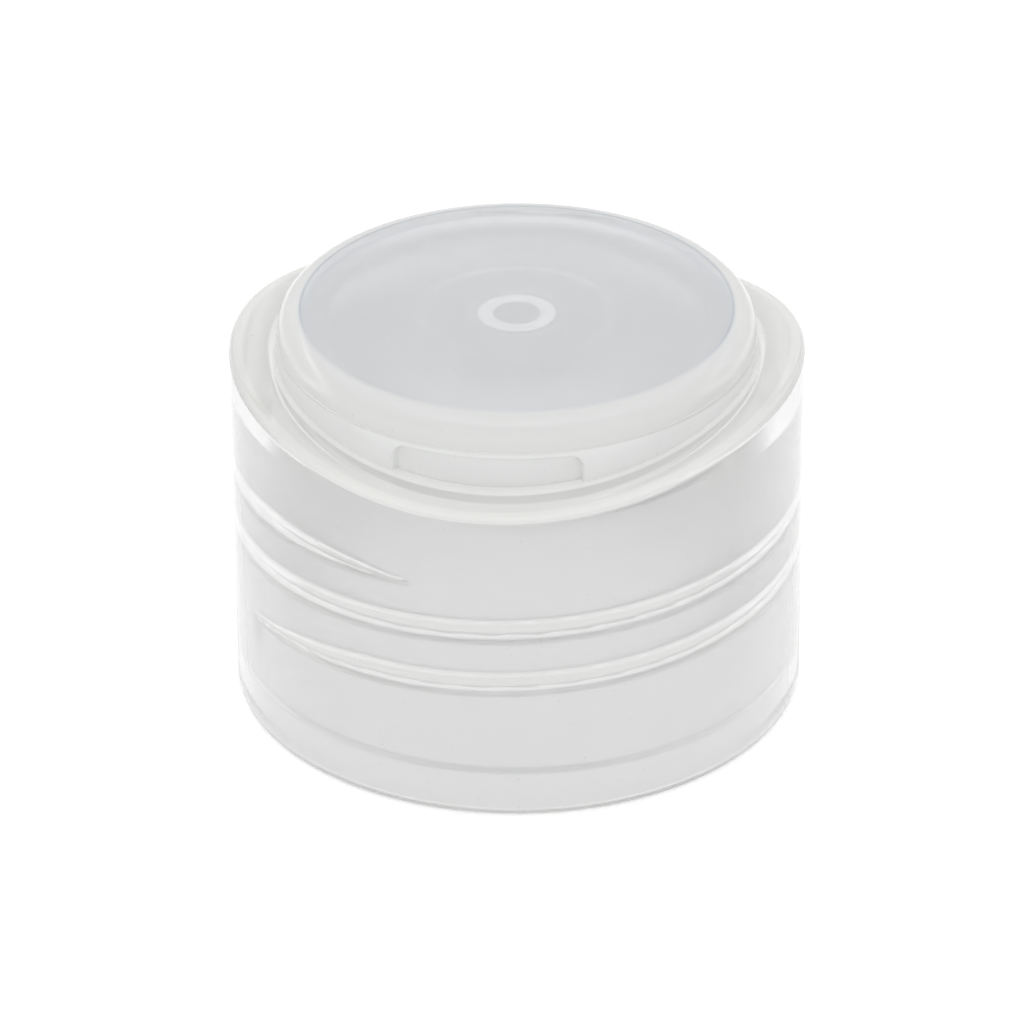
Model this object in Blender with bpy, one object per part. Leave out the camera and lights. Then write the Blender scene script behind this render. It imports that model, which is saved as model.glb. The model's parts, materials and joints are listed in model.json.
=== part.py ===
"""Flip top cap for a screw neck bottle: a threaded base and the lid that hinges on it.

The real cap is one moulding in natural polypropylene. Base and lid are two solids here, parted
at the thin hinge behind the lid, so that the lid can turn. Metres, +Z up, origin at the centre
of the bottom rim, thumb recess towards -Y and hinge towards +Y.
"""
import math

import bmesh
import bpy
from mathutils import Matrix, Vector

# Neck and skirt of the base
BORE_RADIUS = 0.0123
SKIRT_WALL = 0.0019
NECK_DEPTH = 0.0149
FOOT_ROUND = 0.0003
LEAD_DEPTH = 0.0019
LEAD_STEP = 0.0005
LEAD_CHAMFER = 0.00025

# Thread inside the skirt, a single right-hand start
THREAD_PITCH = 0.00295
THREAD_TURNS = 2.14
THREAD_DEPTH = 0.00105
THREAD_START_HEIGHT = 0.00613
THREAD_START_ANGLE = math.radians(-67.5)
THREAD_LOWER_ROOT = 0.00062
THREAD_UPPER_ROOT = 0.00072
THREAD_CREST = 0.0003
THREAD_ROUND = 0.00012
THREAD_RUN_OUT = math.radians(16)

# Deck, with the well that the lid closes and the spout in its middle
DECK_PLATE = 0.0012
WELL_DEPTH = 0.00277
WELL_ROUND = 0.0004
RING_WALL = 0.0009
RING_CHAMFER = 0.00015
RING_HEADROOM = 0.0004
DISH_RADIUS = 0.0047
DISH_DEPTH = 0.0002
SPOUT_HEIGHT = 0.00135
SPOUT_WALL = 0.0007
SPOUT_ROUND = 0.00025

# Underside of the deck, which seals on the bottle's mouth
SEAL_RADIUS = 0.0083
SEAL_WALL = 0.0008
SEAL_LENGTH = 0.0021
SEAL_TAPER = 0.00015
GUTTER_WIDTH = 0.00135

# Shoulder, arched from side to side, low at the front and the back, and dished towards the lid
SHOULDER_ARC = 0.0442
SHOULDER_WALL = 0.0013
SHOULDER_WIDTH = 0.0023
SHOULDER_DISH = 0.0003
RIM_ROUND = 0.0004

# Lid
LID_RISE = 0.00175
LID_PLATE = 0.0010
LID_WALL = 0.0011
LID_TAPER = 0.00012
LID_EDGE_ROUND = 0.0010
LID_CORNER_ROUND = 0.0002
LID_FOOT_CHAMFER = 0.00008
PIN_RADIUS = 0.0019
PIN_BORE = 0.00118
PIN_ENTRY = 0.0014
PIN_CHAMFER = 0.0002

# Thumb recess in the front of the lid
THUMB_CHORD = 0.0092
THUMB_HEIGHT = 0.00168
THUMB_DEPTH = 0.0003
THUMB_CORNER = 0.00065

# Latch beads at the front, one on the lid and one on the ring that it closes over
LATCH_HALF_ANGLE = math.radians(26)
LATCH_RUN_OUT = math.radians(5)
LID_BEAD = 0.00012
RING_BEAD = 0.0001
BEAD_HALF_HEIGHT = 0.00018
BEAD_CREST = 0.00012
LID_BEAD_LIFT = 0.00045
RING_BEAD_DROP = 0.0006

# Hinge behind the lid
HINGE_FLAT_DEPTH = 0.0006
HINGE_FLAT_DROP = 0.0022
HINGE_LIFT = 0.0002
HINGE_OFFSET = 0.0004
FILM_THICKNESS = 0.00025
FILM_HALF_WIDTH = 0.0031
FILM_REACH = 0.0006
LUG_HALF_WIDTH = 0.0035
LUG_THICKNESS = 0.0008
LUG_ROUND = 0.00012
LUG_LIFT = 0.00005

# Clearance between the two solids
RUNNING_GAP = 0.0003

# Fineness of the facets
TURN_STEPS = 72
ROUND_STEPS = 3
THREAD_STEPS_PER_TURN = 44
LATCH_STEPS = 14
THUMB_STEPS = 6
LUG_STEPS = 5
LUG_ROUND_STEPS = 2
LID_EDGE_STEPS = 6
SHARP_ANGLE = math.radians(32)

# How deep an added shape reaches into the wall that carries it
EMBED = 0.0002

# Finish of the plastic
PLASTIC_IOR = 1.49
PLASTIC_TRANSMISSION = 0.6

# Sizes that follow from those above
CAP_RADIUS = BORE_RADIUS + SKIRT_WALL
DECK_TOP = NECK_DEPTH + DECK_PLATE
CREST = DECK_TOP + WELL_DEPTH
LID_TOP = CREST + LID_RISE
LID_UNDERSIDE = LID_TOP - LID_PLATE
LID_RADIUS = CAP_RADIUS - SHOULDER_WIDTH
LID_TOP_RADIUS = LID_RADIUS - LID_TAPER
LID_INNER_RADIUS = LID_TOP_RADIUS - LID_WALL
RING_RADIUS = LID_INNER_RADIUS - RUNNING_GAP - LID_BEAD
RING_TOP = LID_UNDERSIDE - RING_HEADROOM
WELL_RADIUS = RING_RADIUS - RING_WALL
SPOUT_BORE = PIN_RADIUS + RUNNING_GAP
SPOUT_TOP = DECK_TOP + SPOUT_HEIGHT
PIN_TIP = SPOUT_TOP - PIN_ENTRY
HINGE_FLAT_Y = CAP_RADIUS - HINGE_FLAT_DEPTH
HINGE_AXIS_Y = HINGE_FLAT_Y + HINGE_OFFSET


def arch_drop(y):
    """How far the arched shoulder has fallen at a distance y from the crest line."""
    return SHOULDER_ARC - math.sqrt(SHOULDER_ARC ** 2 - y ** 2)


def shoulder_height(y):
    """Height of the shoulder in the middle plane, at a distance y from the cap's axis."""
    share = (CAP_RADIUS - RIM_ROUND - abs(y)) / (CAP_RADIUS - RIM_ROUND - LID_RADIUS)
    return CREST - SHOULDER_DISH * min(1.0, max(0.0, share)) - arch_drop(y)


HINGE_AXIS = Vector((0.0, HINGE_AXIS_Y, shoulder_height(HINGE_FLAT_Y) + HINGE_LIFT))


def clear_scene():
    for item in list(bpy.data.objects):
        bpy.data.objects.remove(item, do_unlink=True)


def plastic(name, colour, roughness):
    material = bpy.data.materials.new(name)
    material.use_nodes = True
    shader = material.node_tree.nodes["Principled BSDF"]
    shader.inputs["Base Color"].default_value = (*colour, 1.0)
    shader.inputs["Roughness"].default_value = roughness
    shader.inputs["Metallic"].default_value = 0.0
    shader.inputs["IOR"].default_value = PLASTIC_IOR
    shader.inputs["Transmission Weight"].default_value = PLASTIC_TRANSMISSION
    return material


def finish_mesh(name, bm, material=None):
    """Close the bmesh into an object with its faces pointing out and smooth round sides."""
    bmesh.ops.recalc_face_normals(bm, faces=bm.faces)
    mesh = bpy.data.meshes.new(name)
    bm.to_mesh(mesh)
    bm.free()
    mesh.shade_smooth()
    mesh.set_sharp_from_angle(angle=SHARP_ANGLE)
    item = bpy.data.objects.new(name, mesh)
    bpy.context.collection.objects.link(item)
    if material:
        mesh.materials.append(material)
    return item


def rounding(centre_radius, centre_height, radius, start, end, follow=0.0, steps=ROUND_STEPS):
    """Points of a turned outline along a round edge, angles in degrees from outwards."""
    points = []
    for step in range(steps + 1):
        turn = math.radians(start + (end - start) * step / steps)
        points.append((centre_radius + radius * math.cos(turn),
                       centre_height + radius * math.sin(turn), follow))
    return points


def turned_ring(bm, radius, height, follow):
    """One ring of a turned shape; follow says how much of the shoulder's arch it takes."""
    if radius == 0.0:
        return [bm.verts.new((0.0, 0.0, height))]
    verts = []
    for step in range(TURN_STEPS):
        turn = math.tau * step / TURN_STEPS
        x, y = radius * math.cos(turn), radius * math.sin(turn)
        verts.append(bm.verts.new((x, y, height - follow * arch_drop(y))))
    return verts


def join_rings(bm, first, second):
    for step in range(TURN_STEPS):
        corners = [first[step % len(first)], first[(step + 1) % len(first)],
                   second[(step + 1) % len(second)], second[step % len(second)]]
        bm.faces.new(list(dict.fromkeys(corners)))


def turned(name, outline, closed, material):
    """Turn an outline of (radius, height, follow) points about the cap's axis."""
    bm = bmesh.new()
    rings = [turned_ring(bm, *point) for point in outline]
    following = rings[1:] + rings[:1] if closed else rings[1:]
    for first, second in zip(rings, following):
        join_rings(bm, first, second)
    return finish_mesh(name, bm, material)


def loft(name, rings):
    """Skin a row of equal closed outlines, given as lists of points, and close both ends."""
    bm = bmesh.new()
    rows = [[bm.verts.new(point) for point in ring] for ring in rings]
    for first, second in zip(rows, rows[1:]):
        for index in range(len(first)):
            after = (index + 1) % len(first)
            bm.faces.new((first[index], first[after], second[after], second[index]))
    bm.faces.new(rows[0])
    bm.faces.new(rows[-1])
    return finish_mesh(name, bm)


def around(angle, radius, height):
    """A point at an angle from the front, counted towards +X."""
    return (radius * math.sin(angle), -radius * math.cos(angle), height)


def swept_ridge(name, section, radius, start, sweep, height, climb, run_out, steps):
    """A ridge on a round wall that runs out at both ends, by sinking its proud points.

    The section's points are (inwards, up, proud).
    """
    rings = []
    for step in range(steps + 1):
        share = step / steps
        from_end = min(share, 1.0 - share) * sweep
        grown = math.sin(min(1.0, from_end / run_out) * math.pi / 2)
        angle = start + sweep * share
        ring = []
        for inwards, up, proud in section:
            depth = inwards * grown if proud else inwards
            ring.append(around(angle, radius - depth, height + climb * share + up))
        rings.append(ring)
    return loft(name, rings)


def slab(name, outline, half_width):
    """An outline of (y, z) points made solid to both sides of the middle plane."""
    bm = bmesh.new()
    face = bm.faces.new([bm.verts.new((-half_width, y, z)) for y, z in outline])
    grown = bmesh.ops.extrude_face_region(bm, geom=[face])
    moved = [part for part in grown["geom"] if isinstance(part, bmesh.types.BMVert)]
    bmesh.ops.translate(bm, verts=moved, vec=(2 * half_width, 0.0, 0.0))
    return finish_mesh(name, bm)


def combine(item, tool, operation):
    """Add or cut a tool shape, which is kept only as a guide."""
    tool.hide_render = True
    tool.display_type = "WIRE"
    modifier = item.modifiers.new(tool.name, "BOOLEAN")
    modifier.operation = operation
    modifier.solver = "EXACT"
    modifier.object = tool


def set_origin(item, point):
    item.data.transform(Matrix.Translation(-point))
    item.location = point


def skirt_outline():
    """Outside of the base from its foot over the rim to the lid's seat and on to the ring."""
    points = rounding(CAP_RADIUS - FOOT_ROUND, FOOT_ROUND, FOOT_ROUND, -90, 0)
    points += rounding(CAP_RADIUS - RIM_ROUND, CREST - RIM_ROUND, RIM_ROUND, 0, 90, 1.0)
    seat = CREST - SHOULDER_DISH
    points += [(LID_RADIUS, seat, 1.0), (RING_RADIUS, seat, 1.0)]
    return points


def deck_outline():
    """Ring that the lid closes over, the well inside it and the spout."""
    spout_outer = SPOUT_BORE + SPOUT_WALL
    dish_floor = DECK_TOP - DISH_DEPTH
    points = [(RING_RADIUS, RING_TOP - RING_CHAMFER, 0.0), (RING_RADIUS - RING_CHAMFER, RING_TOP, 0.0)]
    points += [(WELL_RADIUS + RING_CHAMFER, RING_TOP, 0.0), (WELL_RADIUS, RING_TOP - RING_CHAMFER, 0.0)]
    points += rounding(WELL_RADIUS - WELL_ROUND, DECK_TOP + WELL_ROUND, WELL_ROUND, 0, -90)
    points += [(DISH_RADIUS, DECK_TOP, 0.0), (DISH_RADIUS - DISH_DEPTH, dish_floor, 0.0)]
    points += [(spout_outer, dish_floor, 0.0)]
    points += rounding(spout_outer - SPOUT_ROUND, SPOUT_TOP - SPOUT_ROUND, SPOUT_ROUND, 0, 90)
    points += rounding(SPOUT_BORE + SPOUT_ROUND, SPOUT_TOP - SPOUT_ROUND, SPOUT_ROUND, 90, 180)
    points += [(SPOUT_BORE, NECK_DEPTH, 0.0)]
    return points


def neck_outline():
    """Inside of the base from the spout over the plug seal to the foot."""
    seal_inner = SEAL_RADIUS - SEAL_WALL
    seal_tip = NECK_DEPTH - SEAL_LENGTH
    gutter_inner = BORE_RADIUS - GUTTER_WIDTH
    ceiling = CREST - SHOULDER_WALL
    lead_radius = BORE_RADIUS + LEAD_STEP
    return [
        (seal_inner, NECK_DEPTH, 0.0),
        (seal_inner + SEAL_TAPER, seal_tip, 0.0),
        (SEAL_RADIUS - 2 * SEAL_TAPER, seal_tip, 0.0),
        (SEAL_RADIUS, seal_tip + 2 * SEAL_TAPER, 0.0),
        (SEAL_RADIUS, NECK_DEPTH, 0.0),
        (gutter_inner, NECK_DEPTH, 0.0),
        (gutter_inner, ceiling, 1.0),
        (BORE_RADIUS, ceiling, 1.0),
        (BORE_RADIUS, LEAD_DEPTH + LEAD_CHAMFER, 0.0),
        (lead_radius, LEAD_DEPTH, 0.0),
        (lead_radius, LEAD_CHAMFER, 0.0),
        (lead_radius + LEAD_CHAMFER, 0.0, 0.0),
    ]


def thread_ridge():
    """The single thread, with a steep lower flank and a wide upper one."""
    shoulder = THREAD_DEPTH - THREAD_ROUND
    section = [
        (-EMBED, -THREAD_LOWER_ROOT, False),
        (0.0, -THREAD_LOWER_ROOT, False),
        (shoulder, -THREAD_CREST / 2 - THREAD_ROUND, True),
        (THREAD_DEPTH, -THREAD_CREST / 2, True),
        (THREAD_DEPTH, THREAD_CREST / 2, True),
        (shoulder, THREAD_CREST / 2 + THREAD_ROUND, True),
        (0.0, THREAD_UPPER_ROOT, False),
        (-EMBED, THREAD_UPPER_ROOT, False),
    ]
    return swept_ridge("thread_guide", section, BORE_RADIUS, THREAD_START_ANGLE,
                       math.tau * THREAD_TURNS, THREAD_START_HEIGHT, THREAD_PITCH * THREAD_TURNS,
                       THREAD_RUN_OUT, round(THREAD_STEPS_PER_TURN * THREAD_TURNS))


def latch_bead(name, radius, height, bead):
    """A low bead across the front, inwards from the wall, or outwards where it is negative."""
    root = -math.copysign(EMBED, bead)
    section = [
        (root, -BEAD_HALF_HEIGHT, False),
        (0.0, -BEAD_HALF_HEIGHT, False),
        (bead, -BEAD_CREST / 2, True),
        (bead, BEAD_CREST / 2, True),
        (0.0, BEAD_HALF_HEIGHT, False),
        (root, BEAD_HALF_HEIGHT, False),
    ]
    return swept_ridge(name, section, radius, -LATCH_HALF_ANGLE, 2 * LATCH_HALF_ANGLE,
                       height, 0.0, LATCH_RUN_OUT, LATCH_STEPS)


def make_base(material):
    base = turned("cap_base", skirt_outline() + deck_outline() + neck_outline(), True, material)
    combine(base, thread_ridge(), "UNION")
    bead_height = RING_TOP - RING_BEAD_DROP
    combine(base, latch_bead("ring_bead_guide", RING_RADIUS, bead_height, -RING_BEAD), "UNION")
    combine(base, hinge_flat(), "DIFFERENCE")
    combine(base, base_film(), "UNION")
    return base


def hinge_flat():
    """What is cut from the back of the skirt to make room for the hinge film."""
    bottom = HINGE_AXIS.z - HINGE_FLAT_DROP
    outside = CAP_RADIUS + HINGE_FLAT_DEPTH
    outline = [(HINGE_FLAT_Y, bottom), (outside, bottom - (outside - HINGE_FLAT_Y)),
               (outside, LID_TOP), (HINGE_FLAT_Y, LID_TOP)]
    return slab("hinge_flat_guide", outline, CAP_RADIUS)


def base_film():
    """The half of the hinge film that stays with the base, up to the gap at the axis."""
    top = HINGE_AXIS.z - RUNNING_GAP / 2
    outer = HINGE_FLAT_Y + FILM_THICKNESS
    outline = [(HINGE_FLAT_Y - EMBED, top - FILM_REACH), (outer, top - FILM_REACH + FILM_THICKNESS),
               (outer, top), (HINGE_FLAT_Y - EMBED, top - EMBED)]
    return slab("base_film_guide", outline, FILM_HALF_WIDTH)


def lid_film():
    """The half of the hinge film that turns with the lid."""
    bottom = HINGE_AXIS.z + RUNNING_GAP / 2
    outer = HINGE_FLAT_Y + FILM_THICKNESS
    top = bottom + FILM_REACH
    outline = [(HINGE_FLAT_Y - EMBED, top), (outer, top - FILM_THICKNESS),
               (outer, bottom), (HINGE_FLAT_Y - EMBED, bottom + EMBED)]
    return slab("lid_film_guide", outline, FILM_HALF_WIDTH)


def hinge_lug():
    """The lug that carries the lid's film over the shoulder to the back of the skirt."""
    inner = LID_INNER_RADIUS + EMBED
    gap = RUNNING_GAP + LUG_LIFT
    row = [inner + (HINGE_FLAT_Y - inner) * step / LUG_STEPS for step in range(LUG_STEPS + 1)]
    bottom = [(y, shoulder_height(y) + gap) for y in row]
    top = [(y, shoulder_height(y) + gap + LUG_THICKNESS) for y in reversed(row)]
    lug = slab("hinge_lug_guide", bottom + top, LUG_HALF_WIDTH)
    edges = lug.modifiers.new("round_edges", "BEVEL")
    edges.width = LUG_ROUND
    edges.segments = LUG_ROUND_STEPS
    return lug


def lid_outline():
    """Half section of the lid from the middle of its top to the middle of its underside."""
    seat = CREST - SHOULDER_DISH + RUNNING_GAP
    corner = LID_INNER_RADIUS - LID_CORNER_ROUND
    points = [(0.0, LID_TOP, 0.0)]
    points += rounding(LID_TOP_RADIUS - LID_EDGE_ROUND, LID_TOP - LID_EDGE_ROUND, LID_EDGE_ROUND, 90, 0,
                       steps=LID_EDGE_STEPS)
    points += [(LID_RADIUS, seat + LID_FOOT_CHAMFER, 1.0), (LID_RADIUS - LID_FOOT_CHAMFER, seat, 1.0)]
    points += [(LID_INNER_RADIUS, seat, 1.0)]
    points += rounding(corner, LID_UNDERSIDE - LID_CORNER_ROUND, LID_CORNER_ROUND, 0, 90)
    points += [(PIN_RADIUS, LID_UNDERSIDE, 0.0), (PIN_RADIUS, PIN_TIP + PIN_CHAMFER, 0.0)]
    points += [(PIN_RADIUS - PIN_CHAMFER, PIN_TIP, 0.0), (PIN_BORE, PIN_TIP, 0.0)]
    points += [(PIN_BORE, LID_UNDERSIDE, 0.0), (0.0, LID_UNDERSIDE, 0.0)]
    return points


def recess_edge():
    """Half of the thumb recess's edge as (angle, height) points, from its foot to its middle."""
    half_angle = math.asin(THUMB_CHORD / 2 / LID_RADIUS)
    corner_angle = THUMB_CORNER / LID_RADIUS
    top = shoulder_height(LID_RADIUS) + THUMB_HEIGHT
    points = []
    for step in range(ROUND_STEPS + 1):
        turn = math.pi / 2 * step / ROUND_STEPS
        points.append((half_angle - corner_angle * (1 - math.cos(turn)),
                       top - THUMB_CORNER * (1 - math.sin(turn))))
    straight = points[-1][0]
    points += [(straight * (1 - step / THUMB_STEPS), top) for step in range(1, THUMB_STEPS)]
    return points


def thumb_recess():
    """What is cut from the lid's front: a shallow window with round upper corners."""
    right = recess_edge()
    left = [(-angle, height) for angle, height in reversed(right)]
    bottom = shoulder_height(CAP_RADIUS)
    face = LID_RADIUS - THUMB_DEPTH
    rings = []
    for angle, height in right + [(0.0, right[-1][1])] + left:
        rings.append([around(angle, face, bottom), around(angle, CAP_RADIUS, bottom),
                      around(angle, CAP_RADIUS, height), around(angle, face, height)])
    return loft("thumb_recess_guide", rings)


def make_lid(material):
    lid = turned("flip_lid", lid_outline(), False, material)
    set_origin(lid, HINGE_AXIS)
    combine(lid, hinge_lug(), "UNION")
    combine(lid, lid_film(), "UNION")
    combine(lid, thumb_recess(), "DIFFERENCE")
    bead_height = shoulder_height(LID_RADIUS) + RUNNING_GAP + LID_BEAD_LIFT
    combine(lid, latch_bead("lid_bead_guide", LID_INNER_RADIUS, bead_height, LID_BEAD), "UNION")
    return lid


clear_scene()
make_base(plastic("natural_plastic_base", (0.83, 0.85, 0.86), 0.28))
make_lid(plastic("natural_plastic_lid", (0.84, 0.86, 0.88), 0.22))
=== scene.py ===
"""Looks of the flip top cap: base and lid in milky see-through plastic, on a pale floor.

Metres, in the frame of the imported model: +Z up, thumb recess towards -Y, hinge towards +Y.
"""
import json
import math
from collections import namedtuple

import bmesh
import bpy
import numpy as np
from mathutils import Matrix, Vector


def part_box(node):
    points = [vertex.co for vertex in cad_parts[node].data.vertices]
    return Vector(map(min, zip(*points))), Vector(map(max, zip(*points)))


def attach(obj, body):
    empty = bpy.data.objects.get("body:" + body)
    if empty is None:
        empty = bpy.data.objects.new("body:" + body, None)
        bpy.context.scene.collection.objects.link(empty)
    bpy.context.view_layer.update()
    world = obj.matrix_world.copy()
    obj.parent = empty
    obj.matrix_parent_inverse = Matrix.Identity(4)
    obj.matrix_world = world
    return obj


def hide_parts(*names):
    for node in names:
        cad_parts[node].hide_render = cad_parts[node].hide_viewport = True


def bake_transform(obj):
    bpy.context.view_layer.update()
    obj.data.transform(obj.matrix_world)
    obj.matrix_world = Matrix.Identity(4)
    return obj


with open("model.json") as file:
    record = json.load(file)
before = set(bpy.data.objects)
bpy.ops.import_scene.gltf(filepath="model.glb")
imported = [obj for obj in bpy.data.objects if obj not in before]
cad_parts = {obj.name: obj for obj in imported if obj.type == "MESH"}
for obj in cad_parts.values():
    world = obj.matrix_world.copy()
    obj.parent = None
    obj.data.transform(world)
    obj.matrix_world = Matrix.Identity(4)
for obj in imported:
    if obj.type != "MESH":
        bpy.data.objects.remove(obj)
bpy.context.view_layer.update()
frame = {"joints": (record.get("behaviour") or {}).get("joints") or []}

MM = 0.001
TINY = 1e-9

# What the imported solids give: the cap's rims and the hinge
CAP_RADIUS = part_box("cap_base")[1].x
RING_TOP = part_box("cap_base")[1].z
LID_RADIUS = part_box("flip_lid")[1].x
LID_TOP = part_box("flip_lid")[1].z
PIN_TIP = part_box("flip_lid")[0].z
HINGE = Vector(frame["joints"][0]["pos_m"])

# Base
BORE_RADIUS = CAP_RADIUS - 1.9 * MM
NECK_DEPTH = 14.9 * MM
FOOT_ROUND = 0.3 * MM
LEAD_DEPTH = 1.9 * MM
LEAD_RADIUS = BORE_RADIUS + 0.5 * MM
LEAD_ROUND = 0.12 * MM
CREST = LID_TOP - 1.75 * MM
SHOULDER_ARC = 44.2 * MM
SHOULDER_WALL = 1.3 * MM
SHOULDER_DISH = 0.3 * MM
RIM_ROUND = 0.4 * MM
DECK_TOP = 16.1 * MM
DISH_RADIUS = 4.7 * MM
DISH_DEPTH = 0.2 * MM
SPOUT_BORE = 2.2 * MM
SPOUT_RADIUS = 2.9 * MM
SPOUT_TOP = 17.45 * MM
SEAL_RADIUS = 8.3 * MM
SEAL_WALL = 0.8 * MM
SEAL_TIP = NECK_DEPTH - 2.1 * MM
SEAL_TAPER = 0.15 * MM
GUTTER_RADIUS = BORE_RADIUS - 1.35 * MM
FINE_ROUND = 0.1 * MM
EDGE_ROUND = 0.15 * MM
ROOT_ROUND = 0.3 * MM

# Thread
THREAD_PITCH = 2.95 * MM
THREAD_SWEEP = math.tau * 2.14
THREAD_DEPTH = 1.05 * MM
THREAD_START_HEIGHT = 5.95 * MM
THREAD_START_ANGLE = math.radians(-67.5)
THREAD_RUN_OUT = math.radians(40)
THREAD_LOWER = (0.5 * MM, 0.16 * MM)
THREAD_UPPER = (0.25 * MM, 1.0 * MM)
THREAD_NARROWEST = 0.3
THREAD_ROW = 0.085 * MM

# Lid
LID_TOP_RADIUS = LID_RADIUS - 0.12 * MM
LID_INNER_RADIUS = LID_TOP_RADIUS - 1.1 * MM
LID_UNDERSIDE = LID_TOP - 1.0 * MM
LID_EDGE_ROUND = 1.0 * MM
LID_FOOT_ROUND = 0.01 * MM
LID_CORNER_ROUND = 0.2 * MM
PIN_RADIUS = 1.9 * MM
PIN_BORE = 1.18 * MM
PIN_ROOT_GAP = 0.005 * MM
SEAT_GAP = -0.01 * MM
RING_RADIUS = LID_INNER_RADIUS - 0.42 * MM
WELL_RADIUS = RING_RADIUS - 0.9 * MM

# Thumb recess, and the fine line that the mould's parting left above it
THUMB_HALF_ANGLE = math.asin(4.6 * MM / LID_RADIUS)
THUMB_HEIGHT = 1.68 * MM
THUMB_FLOOR = LID_RADIUS - 0.3 * MM
THUMB_CORNER = 0.65 * MM
THUMB_EDGE = 0.05 * MM
WITNESS_HEIGHT = 18.92 * MM
WITNESS_RISE = 0.43 * MM
WITNESS_PROUD = 0.03 * MM
WITNESS_HALF = 0.05 * MM

# Hinge, with the flat on the skirt, the lug of the lid and the film between them
HINGE_FLAT_Y = HINGE.y - 0.4 * MM
HINGE_FLAT_BOTTOM = HINGE.z - 2.2 * MM
HINGE_LEDGE = 0.6 * MM
LUG_HALF_WIDTH = 3.5 * MM
LUG_THICKNESS = 0.8 * MM
LUG_GAP = 0.35 * MM
LUG_ROUND = 0.15 * MM
FILM_HALF_WIDTH = 3.1 * MM
FILM_THICKNESS = 0.25 * MM
FILM_REACH = 0.75 * MM
FILM_ROOT = 0.05 * MM
FILM_END_ROUND = 0.15 * MM
FILM_END_SHARE = 0.02

# Fineness of the meshes
COLUMNS = 288
ARC_STEPS = 5
FLAT_APPROACH = (6 * MM, 0.3 * MM, 0.1 * MM)
FLAT_ROWS = 6
PLATE_ROWS = (0.0, 3 * MM, 6 * MM, 9 * MM)
WALL_ROWS = 55
WALL_TOP_ROWS = 5
WITNESS_ROWS = 7
THUMB_END_REACH = 0.8 * MM
THUMB_END_COLUMNS = 41
LUG_ROWS = 8
LUG_ROUND_STEPS = 3
FILM_STEPS = 16

# How the plastic looks: its colour, how clear it is from outside, how rough, how clear from inside
Look = namedtuple("Look", "colour clear roughness inside", defaults=[1.0])
SKIRT = Look((0.86, 0.863, 0.858), 0.58, 0.12)
SHOULDER = Look((0.83, 0.83, 0.82), 0.3, 0.12)
# Painted highlight: a whiter, less clear ring near the shoulder's outer edge
SHOULDER_EDGE_HIGHLIGHT = Look((0.9, 0.896, 0.875), 0.3, 0.12)
# Painted light: the seat under the lid's foot is whitened and made less clear, filling the shade there
SEAT_FILL_LIGHT = Look((0.95, 0.95, 0.94), 0.15, 0.12)
BORE = Look((0.85, 0.857, 0.86), 0.15, 0.4)
# Painted shade: a dark bluish band on the step of the mouth's lead-in
STEP_SHADE = Look((0.6, 0.62, 0.66), 0.5, 0.15)
# Painted light: the thread is whitened and made less clear, so it shows as a bright band through the
# wall
THREAD_PAINTED_LIGHT = Look((1.0, 1.0, 0.96), 0.3, 0.15)
RIM = Look((0.83, 0.832, 0.822), 0.25, 0.12)
# Painted light: the lid's wall is lighter and less clear, offsetting the shade of the closed space
# behind it
LID_WALL_PAINTED_LIGHT = Look((0.89, 0.9, 0.89), 0.2, 0.12)
PLATE = Look((0.95, 0.963, 0.985), 0.55, 0.1)
# Painted shade: a dark bluish line at the plate's edge, towards the back, where the rim's shade falls
PLATE_EDGE_SHADE = Look((0.64, 0.67, 0.72), 0.4, 0.12)
UNDER = Look((0.84, 0.86, 0.9), 0.6, 0.45)
# Painted shade: the lid's inner wall darker and bluer towards the back
INNER_WALL_BACK_SHADE = Look((0.77, 0.79, 0.82), 0.4, 0.45)
# Painted highlight: bright rings on the plate's underside, around the pin and over the dish's edge below
RING_HIGHLIGHT = Look((0.95, 0.96, 0.98), 0.6, 0.3, 0.85)
# Painted shade: a dark bluish band in the corner under the plate's edge, towards the back
CORNER_SHADE = Look((0.42, 0.46, 0.53), 0.15, 0.15, 0.1)
# Painted light: a white, fully diffuse ring at the pin's root, shining through the plate
PIN_ROOT_LIGHT = Look((1.0, 1.0, 0.97), 0.4, 0.3, 0.0)
PIN = Look((1.0, 1.0, 1.0), 0.2, 0.45)
IOR = 1.49

# Where it looks so: between two radii and two heights, and from a first to a second Y
Zone = namedtuple("Zone", "radii heights soft look fade", defaults=[None])
ZONE_SOFT = 0.1 * MM
SHOULDER_FOOT = 14.5 * MM
WALL_TOP = 18.9 * MM
PLATE_TOP = LID_TOP - 0.32 * MM
UNDERSIDE = (LID_UNDERSIDE - 0.12 * MM, LID_UNDERSIDE + 0.38 * MM)
# Past the axis and past the top, so that a zone has no border there
AXIS = -MM
TALL = 30 * MM
BASE_ZONES = [
    Zone((LID_RADIUS - 0.05 * MM, CAP_RADIUS - 0.05 * MM), (SHOULDER_FOOT, TALL), 0.03 * MM, SHOULDER),
    # Painted highlight along the shoulder's outer edge
    Zone((CAP_RADIUS - 0.6 * MM, CAP_RADIUS - 0.25 * MM), (SHOULDER_FOOT, TALL), 0.2 * MM,
         SHOULDER_EDGE_HIGHLIGHT),
    # Painted light on the seat, filling the shade under the lid's foot
    Zone((RING_RADIUS, LID_RADIUS + 0.25 * MM), (SHOULDER_FOOT + 2 * MM, TALL), 0.2 * MM, SEAT_FILL_LIGHT),
    Zone((BORE_RADIUS - 0.2 * MM, BORE_RADIUS + 0.3 * MM), (0.5 * MM, NECK_DEPTH + 0.9 * MM),
         0.1 * MM, BORE),
    # Painted shade on the lead-in step
    Zone((BORE_RADIUS + 0.05 * MM, LEAD_RADIUS + 0.1 * MM), (LEAD_DEPTH, LEAD_DEPTH + 0.15 * MM),
         0.1 * MM, STEP_SHADE),
    # Painted light on the thread
    Zone((BORE_RADIUS - 1.3 * MM, BORE_RADIUS - 0.1 * MM), (4 * MM, NECK_DEPTH - 0.5 * MM),
         0.07 * MM, THREAD_PAINTED_LIGHT),
]
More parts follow.
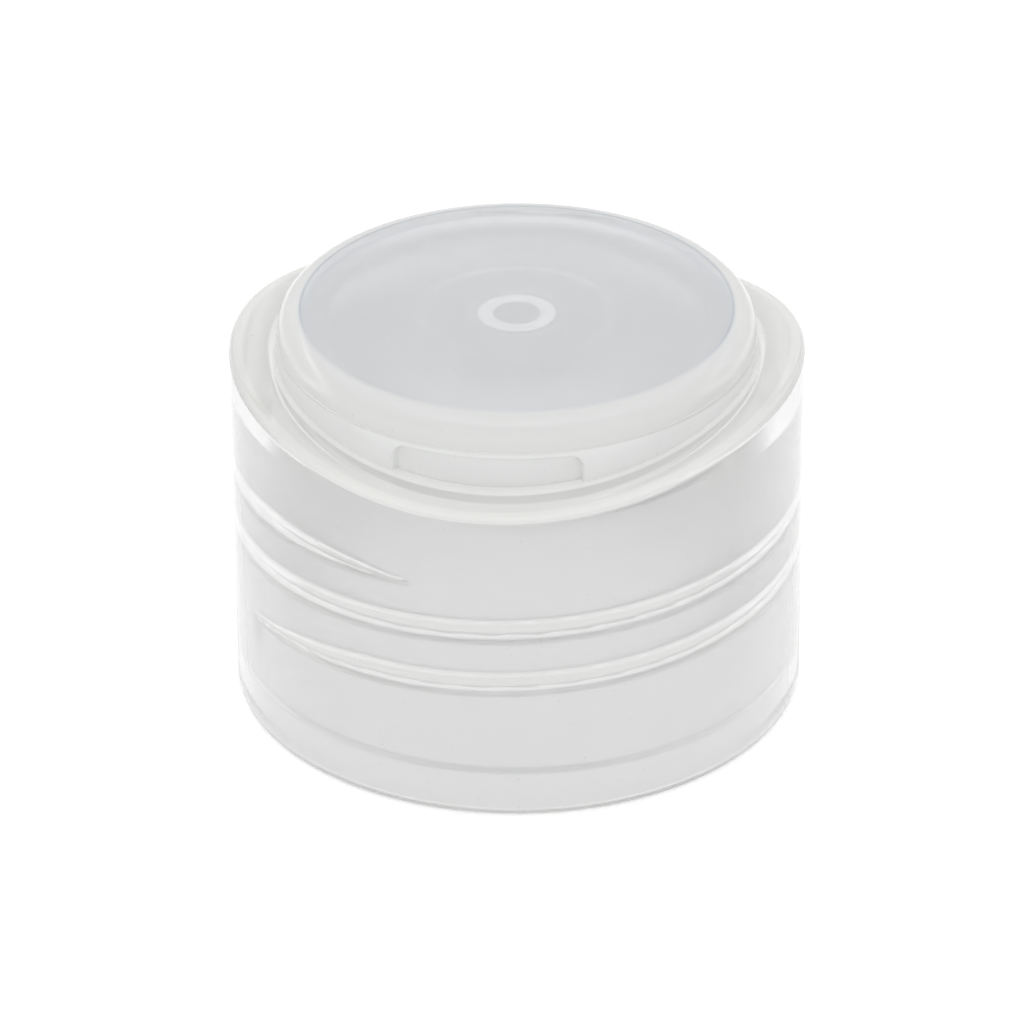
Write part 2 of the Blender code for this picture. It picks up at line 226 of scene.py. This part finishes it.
LID_ZONES = [
    # Painted light on the lid's wall
    Zone((LID_INNER_RADIUS - 0.05 * MM, CAP_RADIUS), (0.0, WALL_TOP), 0.1 * MM, LID_WALL_PAINTED_LIGHT),
    # Painted shade on the inner wall, towards the back
    Zone((LID_INNER_RADIUS - 0.05 * MM, LID_INNER_RADIUS + 0.05 * MM),
         (0.0, LID_UNDERSIDE - 0.1 * MM), 0.05 * MM, INNER_WALL_BACK_SHADE, (0.0, 4 * MM)),
    Zone((AXIS, LID_INNER_RADIUS - 0.2 * MM), (PLATE_TOP, TALL), 0.5 * MM, PLATE),
    # Painted shade at the plate's edge, fading out towards the front
    Zone((LID_INNER_RADIUS - 0.08 * MM, LID_INNER_RADIUS), (PLATE_TOP, TALL), 0.06 * MM,
         PLATE_EDGE_SHADE, (-7 * MM, -MM)),
    Zone((AXIS, LID_INNER_RADIUS - 0.1 * MM), UNDERSIDE, 0.1 * MM, UNDER),
    # Painted highlight rings on the underside
    Zone((PIN_RADIUS + 0.4 * MM, PIN_RADIUS + 0.5 * MM), UNDERSIDE, 0.1 * MM, RING_HIGHLIGHT),
    Zone((DISH_RADIUS - 0.1 * MM, DISH_RADIUS + 0.1 * MM), UNDERSIDE, 0.15 * MM, RING_HIGHLIGHT),
    Zone((AXIS, PIN_RADIUS + 0.05 * MM), (PIN_TIP - MM, UNDERSIDE[0]), 0.1 * MM, PIN),
    # Painted shade in the inner corner, fading out towards the front
    Zone((LID_INNER_RADIUS - 0.34 * MM, LID_INNER_RADIUS + 0.05 * MM),
         (LID_UNDERSIDE - 0.3 * MM, LID_UNDERSIDE), 0.06 * MM, CORNER_SHADE, (-6 * MM, -MM)),
    # Painted light at the pin's root
    Zone((PIN_BORE, PIN_RADIUS), (LID_UNDERSIDE, LID_UNDERSIDE + 0.08 * MM), 0.03 * MM, PIN_ROOT_LIGHT),
]

# Fine variation: clouds in the plastic, specks of dust on it, and the grain of its surface
CLOUD_SCALE = 260.0
CLOUD_DETAIL = 3.0
CLOUD_COLOUR = (0.8, 0.8, 0.8)
CLOUD_SHARE = 0.1
SPECK_SCALE = 5000.0
SPECK_RANGE = (0.83, 0.86)
SPECK_COLOUR = (0.45, 0.43, 0.42)
SPECK_SHARE = 0.2
GRAIN_SCALE = 1800.0
GRAIN_DETAIL = 2.0
GRAIN_ROUGH = 0.03
BUMP_STRENGTH = 0.15
BUMP_DEPTH = 0.005 * MM
NOISE_RANGE = (0.3, 0.7)

# Studio
FLOOR_HALF = 1.5
FLOOR_DROP = 0.02 * MM
FLOOR_ROUGHNESS = 0.9
FLOOR_COLOUR = 0.8
FLOOR_GLOW = 0.38
SKY_TOP = 1.17
SKY_LEVEL = 0.8

# The photograph's viewpoint, found by fitting the cap's rims
CAMERA_ELEVATION = math.radians(30.1)
CAMERA_AZIMUTH = math.radians(7.46)
CAMERA_DISTANCE = 0.3169
CAMERA_ROLL = math.radians(-0.3)
CAMERA_SHIFT = -0.0057
TARGET_HEIGHT = 8.91 * MM
LENS = 222.6
SENSOR_WIDTH = 36.0


def smooth(low, high, value):
    """A smooth step from nought to one while a value goes from low to high."""
    share = np.clip((value - low) / (high - low), 0.0, 1.0)
    return share * share * (3.0 - 2.0 * share)


def arch_drop(y):
    """How far the arched shoulder has fallen at a distance y from its crest."""
    return SHOULDER_ARC - np.sqrt(SHOULDER_ARC ** 2 - y ** 2)


def rounded(outline, closed=False):
    """An outline of (radius, height, follow, rounding) points with its corners made round.

    Gives (radius, height, follow) rows; follow is the share of the shoulder's arch.
    """
    rows = []
    for index, point in enumerate(outline):
        here, size = np.array(point[:3]), point[3]
        at_end = not closed and index in (0, len(outline) - 1)
        if size == 0.0 or at_end:
            rows.append(here)
            continue
        legs = [np.array(outline[index - 1][:3]) - here,
                np.array(outline[(index + 1) % len(outline)][:3]) - here]
        lengths = [np.hypot(*leg[:2]) for leg in legs]
        cosine = float(legs[0][:2] @ legs[1][:2]) / (lengths[0] * lengths[1])
        half = math.acos(max(-1.0, min(1.0, cosine))) / 2
        reach = size / math.tan(half)
        start, end = [here + leg * min(0.49, reach / length) for leg, length in zip(legs, lengths)]
        weight = math.sin(half)
        for step in range(ARC_STEPS + 1):
            t = step / ARC_STEPS
            parts = np.array([(1 - t) ** 2, 2 * weight * t * (1 - t), t * t])
            parts /= parts.sum()
            rows.append(parts[0] * start + parts[1] * here + parts[2] * end)
    return rows


def skin(rows, angles, closed=False):
    """Points and faces turned from (radius, height) rows, each an array over the angles."""
    points, faces, starts = [], [], []
    for radius, height in rows:
        starts.append(sum(len(part) for part in points))
        if np.max(radius) < TINY:
            points.append(np.array([[0.0, 0.0, float(np.mean(height))]]))
        else:
            points.append(np.stack([radius * np.sin(angles), -radius * np.cos(angles), height], axis=1))
    column = np.arange(len(angles))
    pairs = list(zip(column, (column + 1) % len(angles)))
    for index in range(len(rows) if closed else len(rows) - 1):
        after = (index + 1) % len(rows)
        first, second = starts[index], starts[after]
        if len(points[index]) == 1:
            faces += [(first, second + b, second + a) for a, b in pairs]
        elif len(points[after]) == 1:
            faces += [(first + a, first + b, second) for a, b in pairs]
        else:
            faces += [(first + a, first + b, second + b, second + a) for a, b in pairs]
    return np.concatenate(points).tolist(), faces


def link(name, *parts):
    """One object of several closed shells, each given as its points and faces."""
    points, faces = [], []
    for part_points, part_faces in parts:
        start = len(points)
        points += part_points
        faces += [tuple(start + index for index in face) for face in part_faces]
    mesh = bpy.data.meshes.new(name)
    mesh.from_pydata(points, [], faces)
    solid = bmesh.new()
    solid.from_mesh(mesh)
    bmesh.ops.recalc_face_normals(solid, faces=solid.faces)
    solid.to_mesh(mesh)
    solid.free()
    mesh.shade_smooth()
    item = bpy.data.objects.new(name, mesh)
    bpy.context.collection.objects.link(item)
    return item


def laid(angles, row):
    """A plain row laid out over the angles."""
    radius = np.full(len(angles), row[0])
    return radius, row[1] - row[2] * arch_drop(radius * np.cos(angles))


def flattened(angles, radius, height):
    """The skirt's outside with the flat for the hinge, which runs out downwards."""
    # Held at a half or more, so that only the back of the skirt is cut
    towards_back = np.maximum(-np.cos(angles), 0.5)
    depth = np.maximum(0.0, radius - HINGE_FLAT_Y / towards_back)
    share = np.clip((height - HINGE_FLAT_BOTTOM + HINGE_LEDGE) / HINGE_LEDGE, 0.0, 1.0)
    return radius - np.minimum(depth, share * HINGE_LEDGE), height


def thread_depth(angles, height):
    """How far the single right-hand thread stands in from the bore."""
    depth = np.zeros(len(angles))
    for turn in range(math.ceil(THREAD_SWEEP / math.tau) + 1):
        travelled = (angles - THREAD_START_ANGLE) % math.tau + math.tau * turn
        up = height - (THREAD_START_HEIGHT + THREAD_PITCH * travelled / math.tau)
        ends = np.clip(np.minimum(travelled, THREAD_SWEEP - travelled) / THREAD_RUN_OUT, 0.0, 1.0)
        up = (up + THREAD_LOWER[0]) / np.maximum(THREAD_NARROWEST, np.sqrt(ends)) - THREAD_LOWER[0]
        lower = smooth(-THREAD_LOWER[0], -THREAD_LOWER[1], up)
        upper = 1.0 - smooth(THREAD_UPPER[0], THREAD_UPPER[1], up)
        depth = np.maximum(depth, THREAD_DEPTH * lower * upper * np.sqrt(ends))
    return depth


def base_rows(angles):
    """Rows around the section of the base: outside, shoulder, deck, underside, bore and mouth."""
    seat = CREST - SHOULDER_DISH
    ledge = HINGE_FLAT_BOTTOM - HINGE_LEDGE
    outside = [(LEAD_RADIUS + LEAD_ROUND, 0.0, 0, 0.05 * MM), (CAP_RADIUS, 0.0, 0, FOOT_ROUND)]
    outside += [(CAP_RADIUS, ledge - drop, 0, 0) for drop in FLAT_APPROACH]
    ledge_heights = np.linspace(ledge, HINGE_FLAT_BOTTOM, FLAT_ROWS)
    outside += [(CAP_RADIUS, height, 0, 0) for height in ledge_heights]
    outside += [(CAP_RADIUS, CREST, 1, RIM_ROUND)]
    inside = [
        (LID_RADIUS, seat, 1, FINE_ROUND),
        (RING_RADIUS, seat, 1, EDGE_ROUND),
        (RING_RADIUS, RING_TOP, 0, EDGE_ROUND),
        (WELL_RADIUS, RING_TOP, 0, 0.2 * MM),
        (WELL_RADIUS, DECK_TOP, 0, 0.4 * MM),
        (DISH_RADIUS, DECK_TOP, 0, 0.08 * MM),
        (DISH_RADIUS - DISH_DEPTH, DECK_TOP - DISH_DEPTH, 0, 0.08 * MM),
        (SPOUT_RADIUS, DECK_TOP - DISH_DEPTH, 0, EDGE_ROUND),
        (SPOUT_RADIUS, SPOUT_TOP, 0, 0.25 * MM),
        (SPOUT_BORE, SPOUT_TOP, 0, 0.25 * MM),
        (SPOUT_BORE, NECK_DEPTH, 0, FINE_ROUND),
        (SEAL_RADIUS - SEAL_WALL, NECK_DEPTH, 0, EDGE_ROUND),
        (SEAL_RADIUS - SEAL_WALL + SEAL_TAPER, SEAL_TIP, 0, FINE_ROUND),
        (SEAL_RADIUS - 2 * SEAL_TAPER, SEAL_TIP, 0, FINE_ROUND),
        (SEAL_RADIUS, SEAL_TIP + 2 * SEAL_TAPER, 0, EDGE_ROUND),
        (SEAL_RADIUS, NECK_DEPTH, 0, EDGE_ROUND),
        (GUTTER_RADIUS, NECK_DEPTH, 0, EDGE_ROUND),
        (GUTTER_RADIUS, CREST - SHOULDER_WALL, 1, ROOT_ROUND),
        (BORE_RADIUS, CREST - SHOULDER_WALL, 1, ROOT_ROUND),
    ]
    thread_rise = THREAD_PITCH * THREAD_SWEEP / math.tau
    high = THREAD_START_HEIGHT + thread_rise + THREAD_UPPER[1] + THREAD_ROW
    low = THREAD_START_HEIGHT - THREAD_LOWER[0] - THREAD_ROW
    bore = [(BORE_RADIUS, height, 0, 0) for height in np.arange(high, low, -THREAD_ROW)]
    mouth = [
        (BORE_RADIUS, LEAD_DEPTH + 0.25 * MM, 0, FINE_ROUND),
        (LEAD_RADIUS, LEAD_DEPTH, 0, LEAD_ROUND),
        (LEAD_RADIUS, 0.25 * MM, 0, FINE_ROUND),
    ]
    rows = []
    for row in rounded(outside + inside + bore + mouth, True):
        radius, height = laid(angles, row)
        if row[0] > HINGE_FLAT_Y and row[1] > ledge - TINY:
            radius, height = flattened(angles, radius, height)
        if abs(row[0] - BORE_RADIUS) < TINY:
            radius = radius - thread_depth(angles, height)
        rows.append((radius, height))
    return rows


def lid_angles():
    """Even columns, with close ones at the two ends of the thumb recess."""
    even = np.linspace(-math.pi, math.pi, COLUMNS, endpoint=False)
    reach = THUMB_END_REACH / LID_RADIUS
    close = np.linspace(-reach, reach, THUMB_END_COLUMNS)
    extra = np.concatenate([close - THUMB_HALF_ANGLE, close + THUMB_HALF_ANGLE])
    kept = even[np.abs(np.abs(even) - THUMB_HALF_ANGLE) > reach]
    return np.sort(np.concatenate([kept, extra]))


def recessed(angles, radius, height):
    """The lid's wall with the thumb recess, a window with round upper corners, open below."""
    across = np.abs(angles) * LID_RADIUS - (THUMB_HALF_ANGLE * LID_RADIUS - THUMB_CORNER)
    foot = CREST - SHOULDER_DISH - arch_drop(LID_RADIUS)
    above = height - (foot + THUMB_HEIGHT - THUMB_CORNER)
    away = np.hypot(np.maximum(across, 0), np.maximum(above, 0))
    away = away + np.minimum(np.maximum(across, above), 0)
    inside = 1.0 - smooth(-THUMB_EDGE, THUMB_EDGE, away - THUMB_CORNER)
    return radius - inside * np.maximum(0.0, radius - THUMB_FLOOR), height


def seat_rise(angles, radius, set_back):
    """How much higher the arched seat lies under a wall that is set back than under the full one."""
    return arch_drop(radius * np.cos(angles)) - arch_drop(set_back * np.cos(angles))


def lid_wall(angles):
    """Outside of the lid from its rounded edge over the mould's line to the foot."""
    top = LID_TOP - LID_EDGE_ROUND
    foot = CREST - SHOULDER_DISH + SEAT_GAP + LID_FOOT_ROUND - arch_drop(LID_RADIUS * np.cos(angles))
    line = WITNESS_HEIGHT + WITNESS_RISE * (1.0 - np.cos(angles))
    rows = []
    for share in np.linspace(0.15, 0.9, WALL_TOP_ROWS):
        rows.append((0.0, top + (line + WITNESS_HALF - top) * share))
    for share in np.linspace(-1.0, 1.0, WITNESS_ROWS):
        rows.append((WITNESS_PROUD * math.cos(share * math.pi / 2), line - WITNESS_HALF * share))
    for share in np.linspace(0.0, 1.0, WALL_ROWS + 1)[1:]:
        rows.append((0.0, line - WITNESS_HALF + (foot - line + WITNESS_HALF) * share))
    finished = []
    for proud, height in rows:
        flare = (LID_RADIUS - LID_TOP_RADIUS) * (top - height) / (top - foot)
        radius = LID_TOP_RADIUS + flare + proud
        set_back, height = recessed(angles, radius, height)
        near_foot = np.clip(1.0 - (height - foot) / MM, 0.0, 1.0)
        finished.append((set_back, height + seat_rise(angles, radius, set_back) * near_foot))
    return finished


def lid_rows(angles):
    """Rows over the lid: plate, rounded edge, wall, foot, inner wall and underside."""
    seat = CREST - SHOULDER_DISH + SEAT_GAP
    top = [(radius, LID_TOP, 0, 0) for radius in PLATE_ROWS]
    top += [(LID_TOP_RADIUS, LID_TOP, 0, LID_EDGE_ROUND),
            (LID_TOP_RADIUS, LID_TOP - 3 * LID_EDGE_ROUND, 0, 0)]
    under = [
        (LID_RADIUS, seat + 2 * LID_FOOT_ROUND, 1, 0),
        (LID_RADIUS, seat, 1, LID_FOOT_ROUND),
        (LID_INNER_RADIUS, seat, 1, LID_FOOT_ROUND),
        (LID_INNER_RADIUS, LID_UNDERSIDE, 0, LID_CORNER_ROUND),
        (PIN_RADIUS, LID_UNDERSIDE, 0, 0),
        (0.0, LID_UNDERSIDE, 0, 0),
    ]
    rows = [laid(angles, row) for row in rounded(top)[:-1]]
    rows += lid_wall(angles)
    for row in rounded(under)[1:]:
        radius, height = laid(angles, row)
        if row[2] == 1 and row[0] > THUMB_FLOOR:
            set_back, height = recessed(angles, radius, height)
            radius, height = set_back, height + seat_rise(angles, radius, set_back)
        rows.append((radius, height))
    return rows


def pin_rows(angles):
    """Rows around the tubular pin, a shell of its own that ends just below the plate."""
    top = LID_UNDERSIDE - PIN_ROOT_GAP
    outline = [(PIN_RADIUS, PIN_TIP, 0, 0.2 * MM), (PIN_RADIUS, top, 0, 0), (PIN_BORE, top, 0, 0),
               (PIN_BORE, PIN_TIP, 0, 0.1 * MM)]
    return [laid(angles, row) for row in rounded(outline, True)]


def hinge_lug():
    """The lug that reaches over the shoulder to the flat at the back."""
    inner = LID_INNER_RADIUS + 0.2 * MM
    y = np.linspace(inner, HINGE_FLAT_Y, LUG_ROWS)
    rim = CAP_RADIUS - RIM_ROUND
    dish = SHOULDER_DISH * np.clip((rim - y) / (rim - LID_RADIUS), 0, 1)
    bottom = CREST - dish - arch_drop(y) + LUG_GAP
    outline = list(zip(y, bottom)) + list(zip(y[::-1], bottom[::-1] + LUG_THICKNESS))
    count = len(outline)
    points = [(side * LUG_HALF_WIDTH, float(a), float(b)) for side in (-1, 1) for a, b in outline]
    faces = [tuple(range(count))[::-1], tuple(range(count, 2 * count))]
    faces += [(i, (i + 1) % count, count + (i + 1) % count, count + i) for i in range(count)]
    lug = link("lug_tool", (points, faces))
    edges = lug.modifiers.new("round", "BEVEL")
    edges.width = LUG_ROUND
    edges.segments = LUG_ROUND_STEPS
    return lug


def apply_modifiers(item):
    """Put the evaluated mesh in place of the plain one and its modifiers."""
    graph = bpy.context.evaluated_depsgraph_get()
    mesh = bpy.data.meshes.new_from_object(item.evaluated_get(graph))
    item.modifiers.clear()
    item.data = mesh


def hinge_film():
    """The thin bending strip, from the flat on the skirt up to the end of the lug."""
    low, high = HINGE.z - FILM_REACH, HINGE.z + FILM_REACH
    inner, outer = HINGE_FLAT_Y - FILM_ROOT, HINGE_FLAT_Y + FILM_THICKNESS
    points, faces = [], []
    for step in range(FILM_STEPS + 1):
        share = step / FILM_STEPS
        height = low + (high - low) * share
        end = min(share, 1 - share) * 2 * FILM_REACH
        proud = inner + (outer - inner) * math.sqrt(min(1.0, end / FILM_END_ROUND + FILM_END_SHARE))
        points += [(-FILM_HALF_WIDTH, inner, height), (-FILM_HALF_WIDTH, proud, height),
                   (FILM_HALF_WIDTH, proud, height), (FILM_HALF_WIDTH, inner, height)]
    for step in range(FILM_STEPS):
        first = 4 * step
        for a in range(4):
            b = (a + 1) % 4
            faces.append((first + a, first + b, first + 4 + b, first + 4 + a))
    faces += [(3, 2, 1, 0), tuple(4 * FILM_STEPS + a for a in range(4))]
    return link("hinge_film", (points, faces))


class Graph:
    """Short ways to add nodes to a material and link them."""

    def __init__(self, material):
        material.use_nodes = True
        self.nodes, self.links = material.node_tree.nodes, material.node_tree.links
        self.shader = self.nodes["Principled BSDF"]

    def join(self, value, socket):
        """Link a socket, or set a number or colour."""
        if isinstance(value, bpy.types.NodeSocket):
            self.links.new(value, socket)
        elif isinstance(value, tuple) and socket.type == "RGBA":
            socket.default_value = (*value, 1.0)
        else:
            socket.default_value = value

    def finish(self, label, value):
        """Link or set an input of the shader itself."""
        self.join(value, self.shader.inputs[label])

    def maths(self, kind, operation, *values):
        """What a node makes of the values by an operation."""
        node = self.nodes.new(kind)
        node.operation = operation
        for value, socket in zip(values, node.inputs):
            self.join(value, socket)
        return next(socket for socket in node.outputs if socket.enabled)

    def multiply(self, first, second):
        return self.maths("ShaderNodeMath", "MULTIPLY", first, second)

    def step(self, value, start, end, low=0.0, high=1.0):
        """A smooth step from low to high while a value goes from start to end."""
        node = self.nodes.new("ShaderNodeMapRange")
        node.interpolation_type = "SMOOTHSTEP"
        for label, number in (("From Min", start), ("From Max", end), ("To Min", low), ("To Max", high)):
            node.inputs[label].default_value = number
        self.join(value, node.inputs["Value"])
        return node.outputs["Result"]

    def within(self, value, limits, soft):
        """One where a value lies between two limits, else nought."""
        rising = self.step(value, limits[0] - soft, limits[0])
        return self.multiply(rising, self.step(value, limits[1], limits[1] + soft, 1.0, 0.0))

    def mix(self, kind, first, second, share):
        """The first value, going over to the second as the share goes to one."""
        node = self.nodes.new("ShaderNodeMix")
        node.data_type = kind
        sockets = {socket.name: socket for socket in node.inputs if socket.enabled}
        for label, value in (("Factor", share), ("A", first), ("B", second)):
            self.join(value, sockets[label])
        return next(socket for socket in node.outputs if socket.enabled)

    def noise(self, place, scale, detail):
        node = self.nodes.new("ShaderNodeTexNoise")
        node.inputs["Scale"].default_value = scale
        node.inputs["Detail"].default_value = detail
        self.join(place, node.inputs["Vector"])
        return node.outputs["Fac"]


def zone_share(graph, zone, place):
    """One inside a zone, else nought."""
    radius = graph.maths("ShaderNodeVectorMath", "LENGTH",
                         graph.maths("ShaderNodeVectorMath", "MULTIPLY", place, (1.0, 1.0, 0.0)))
    split = graph.nodes.new("ShaderNodeSeparateXYZ")
    graph.join(place, split.inputs["Vector"])
    share = graph.multiply(graph.within(radius, zone.radii, zone.soft),
                           graph.within(split.outputs["Z"], zone.heights, ZONE_SOFT))
    if zone.fade:
        share = graph.multiply(share, graph.step(split.outputs["Y"], *zone.fade))
    return share


def natural_plastic(name, look, zones):
    """Milky natural polypropylene, clearer where it is thin, with zones of painted light and painted
    shade.

    Each zone is laid over those before it.
    """
    material = bpy.data.materials.new(name)
    graph = Graph(material)
    place = graph.nodes.new("ShaderNodeTexCoord").outputs["Object"]
    colour, clear, roughness, inside = look
    for zone in zones:
        share = zone_share(graph, zone, place)
        colour = graph.mix("RGBA", colour, zone.look.colour, share)
        clear = graph.mix("FLOAT", clear, zone.look.clear, share)
        roughness = graph.mix("FLOAT", roughness, zone.look.roughness, share)
        inside = graph.mix("FLOAT", inside, zone.look.inside, share)
    cloud_noise = graph.noise(place, CLOUD_SCALE, CLOUD_DETAIL)
    clouds = graph.step(cloud_noise, *NOISE_RANGE, 0.0, CLOUD_SHARE)
    colour = graph.mix("RGBA", colour, CLOUD_COLOUR, clouds)
    specks = graph.step(graph.noise(place, SPECK_SCALE, 0.0), *SPECK_RANGE, 0.0, SPECK_SHARE)
    graph.finish("Base Color", graph.mix("RGBA", colour, SPECK_COLOUR, specks))
    grain = graph.noise(place, GRAIN_SCALE, GRAIN_DETAIL)
    rougher = graph.step(grain, *NOISE_RANGE, -GRAIN_ROUGH, GRAIN_ROUGH)
    graph.finish("Roughness", graph.maths("ShaderNodeMath", "ADD", roughness, rougher))
    bump = graph.nodes.new("ShaderNodeBump")
    bump.inputs["Strength"].default_value = BUMP_STRENGTH
    bump.inputs["Distance"].default_value = BUMP_DEPTH
    graph.join(grain, bump.inputs["Height"])
    graph.finish("Normal", bump.outputs["Normal"])
    graph.finish("IOR", IOR)
    # Light that meets the surface from inside the plastic takes the inside share
    side = graph.nodes.new("ShaderNodeNewGeometry").outputs["Backfacing"]
    graph.finish("Transmission Weight", graph.mix("FLOAT", clear, inside, side))
    return material


def make_base(material):
    angles = np.linspace(-math.pi, math.pi, COLUMNS, endpoint=False)
    base = link("base_moulding", skin(base_rows(angles), angles, True))
    base.data.materials.append(material)
    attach(base, "base")
    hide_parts("cap_base")


def make_lid(material):
    angles = lid_angles()
    lid = link("lid_moulding", skin(lid_rows(angles), angles), skin(pin_rows(angles), angles, True))
    lug = hinge_lug()
    joined = lid.modifiers.new("lug", "BOOLEAN")
    joined.operation = "UNION"
    joined.solver = "EXACT"
    joined.object = lug
    apply_modifiers(lid)
    bpy.data.objects.remove(lug)
    lid.data.materials.clear()
    lid.data.materials.append(material)
    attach(lid, "lid")
    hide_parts("flip_lid")


def make_film(material):
    """The thin film of the hinge, made in the world's frame and given the lid's plastic."""
    film = hinge_film()
    film.data.materials.append(material)
    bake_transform(film)


def make_floor():
    """A plain pale floor that glows a little, so that it shows white around the cap."""
    half = FLOOR_HALF
    corners = [(-half, -half, 0.0), (half, -half, 0.0), (half, half, 0.0), (-half, half, 0.0)]
    floor = link("floor", (corners, [(0, 1, 2, 3)]))
    floor.location.z = -FLOOR_DROP
    material = bpy.data.materials.new("pale_floor")
    material.use_nodes = True
    shader = material.node_tree.nodes["Principled BSDF"]
    shader.inputs["Base Color"].default_value = (FLOOR_COLOUR, FLOOR_COLOUR, FLOOR_COLOUR, 1.0)
    shader.inputs["Roughness"].default_value = FLOOR_ROUGHNESS
    shader.inputs["Specular IOR Level"].default_value = 0.0
    shader.inputs["Emission Color"].default_value = (1.0, 1.0, 1.0, 1.0)
    shader.inputs["Emission Strength"].default_value = FLOOR_GLOW
    material.cycles.emission_sampling = "NONE"
    floor.data.materials.append(material)


def make_light():
    """A soft white studio: bright overhead, dimmer at the level of the table."""
    world = bpy.data.worlds.new("studio")
    bpy.context.scene.world = world
    world.use_nodes = True
    nodes, links = world.node_tree.nodes, world.node_tree.links
    place = nodes.new("ShaderNodeTexCoord")
    split = nodes.new("ShaderNodeSeparateXYZ")
    ramp = nodes.new("ShaderNodeMapRange")
    ramp.interpolation_type = "SMOOTHSTEP"
    ramp.inputs["From Min"].default_value = 0.0
    ramp.inputs["From Max"].default_value = 1.0
    ramp.inputs["To Min"].default_value = SKY_LEVEL
    ramp.inputs["To Max"].default_value = SKY_TOP
    links.new(place.outputs["Generated"], split.inputs["Vector"])
    links.new(split.outputs["Z"], ramp.inputs["Value"])
    links.new(ramp.outputs["Result"], nodes["Background"].inputs["Strength"])
    nodes["Background"].inputs["Color"].default_value = (1.0, 1.0, 1.0, 1.0)
    world.cycles.sampling_method = "NONE"


def make_camera():
    target = Vector((0.0, 0.0, TARGET_HEIGHT))
    level = math.cos(CAMERA_ELEVATION)
    away = Vector((math.sin(CAMERA_AZIMUTH) * level, -math.cos(CAMERA_AZIMUTH) * level,
                   math.sin(CAMERA_ELEVATION)))
    data = bpy.data.cameras.new("camera")
    data.sensor_width = SENSOR_WIDTH
    data.lens = LENS
    data.shift_x = CAMERA_SHIFT
    data.clip_start, data.clip_end = 0.01, 10.0
    camera = bpy.data.objects.new("camera", data)
    bpy.context.collection.objects.link(camera)
    camera.location = target + away * CAMERA_DISTANCE
    aim = (-away).to_track_quat("-Z", "Y").to_matrix().to_4x4()
    camera.rotation_euler = (aim @ Matrix.Rotation(CAMERA_ROLL, 4, "Z")).to_euler()
    bpy.context.scene.camera = camera


base_plastic = natural_plastic("base_natural", SKIRT, BASE_ZONES)
lid_plastic = natural_plastic("lid_natural", RIM, LID_ZONES)
make_base(base_plastic)
make_lid(lid_plastic)
make_film(lid_plastic)
make_floor()
make_light()
make_camera()
bpy.context.scene.view_settings.view_transform = "Standard"
